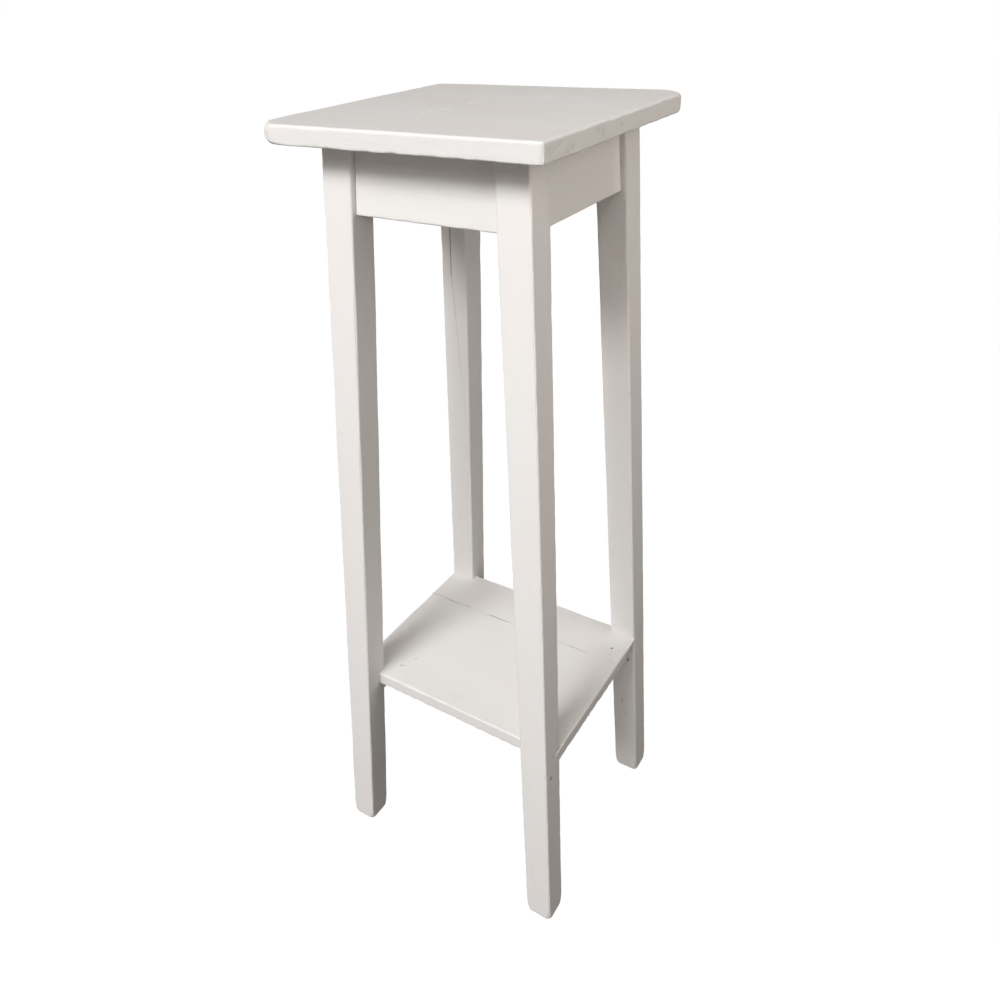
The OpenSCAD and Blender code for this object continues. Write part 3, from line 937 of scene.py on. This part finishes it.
def world():
    """Soft warm room light from the left, the front, the back and above."""
    scene_world = bpy.data.worlds.new("studio")
    scene_world.use_nodes = True
    tree = scene_world.node_tree
    background = tree.nodes["Background"]
    direction = tree.nodes.new("ShaderNodeTexCoord")
    total = None
    for axis, strength in ROOM_LIGHT.items():
        facing = tree.nodes.new("ShaderNodeVectorMath")
        facing.operation = "DOT_PRODUCT"
        tree.links.new(direction.outputs["Generated"], facing.inputs[0])
        facing.inputs[1].default_value = axis
        lit = tree.nodes.new("ShaderNodeMath")
        lit.operation = "MAXIMUM"
        tree.links.new(facing.outputs["Value"], lit.inputs[0])
        lit.inputs[1].default_value = 0
        part = tree.nodes.new("ShaderNodeMath")
        part.operation = "MULTIPLY_ADD"
        tree.links.new(lit.outputs[0], part.inputs[0])
        part.inputs[1].default_value = strength
        if total is not None:
            tree.links.new(total, part.inputs[2])
        else:
            part.inputs[2].default_value = 0
        total = part.outputs[0]
    background.inputs["Color"].default_value = ROOM_COLOUR
    tree.links.new(total, background.inputs["Strength"])
    bpy.context.scene.world = scene_world


# Sensor and lens in mm, shift in shares of the picture's width, place in metres, and turns about X, Y and Z
# in degrees
CAMERA_SENSOR = 36
CAMERA_LENS = 29.877
CAMERA_SHIFT = (0.0334, -0.02)
CAMERA_PLACE = (0.42427, -0.67303, 0.99984)
CAMERA_TURN = (58.59, 2.397, 33.065)


def camera():
    """Looks down from the front right, slightly turned, with a small shift for the framing."""
    data = bpy.data.cameras.new("camera")
    data.sensor_width = CAMERA_SENSOR
    data.lens = CAMERA_LENS
    data.shift_x, data.shift_y = CAMERA_SHIFT
    data.dof.use_dof = False
    thing = bpy.data.objects.new("camera", data)
    thing.location = CAMERA_PLACE
    thing.rotation_euler = Euler([math.radians(a) for a in CAMERA_TURN])
    bpy.context.scene.collection.objects.link(thing)
    bpy.context.scene.camera = thing


board, low, high = top_board()
mark_top(board, low, high)
board.build(TOP_PAINT_SHADED, "top_board", "top_paint")
front_left_leg().build(LEG_PAINT, "leg_front_left", "leg_paint")
front_right_leg().build(LEG_PAINT, "leg_front_right", "leg_paint")
rear_left_leg().build(LEG_PAINT, "leg_rear_left", "leg_paint")
rear_right_leg().build(LEG_PAINT, "leg_rear_right", "leg_paint")
apron("apron_front", 0, 701).build(APRON_PAINT, "apron_front", "apron_paint")
apron("apron_rear", 0, 711).build(APRON_PAINT, "apron_rear", "apron_paint")
apron("apron_left", 1, 721).build(APRON_PAINT, "apron_left", "apron_paint")
apron("apron_right", 1, 731).build(APRON_PAINT, "apron_right", "apron_paint")
front_shelf_board().build(SHELF_PAINT, "shelf_board_front", "shelf_paint")
rear_shelf_board().build(SHELF_PAINT, "shelf_board_rear", "shelf_paint")
cleat("shelf_cleat_left", 801).build(SHELF_PAINT, "shelf_cleat_left", "shelf_paint")
cleat("shelf_cleat_right", 811).build(SHELF_PAINT, "shelf_cleat_right", "shelf_paint")
dress_cad_nodes()

floor()
world()
upper_half, middle, head = (0, 0, 0.6), (0, 0, 0.5), (0, 0, 0.8)
white, warm = (1.0, 0.995, 1.0), (1.0, 0.927, 0.864)
area_light("key", (-0.32, -3.05, 3.171), upper_half, (1.6, 1.1), 122, white)
area_light("front_low", (1.0, -2.9, 2.5), upper_half, (1.1, 1.1), 24, (1.0, 0.99, 0.985))
area_light("front_high", (0, -2.677, 3.573), upper_half, (1.1, 1.1), 14.7, white)
area_light("side_right", (2.4, -0.7, 0.75), middle, (1.4, 1.4), 5.5, warm)
area_light("near_right", (0.9, 0.1, 1.08), head, (0.8, 0.8), 3.4, warm)
area_light("rear_fill", (-2.0, 2.2, 0.4), middle, (0.8, 0.8), 22, (1.0, 0.99, 0.98))
camera()

bpy.context.scene.view_settings.view_transform = "Standard"
bpy.context.scene.view_settings.look = "None"
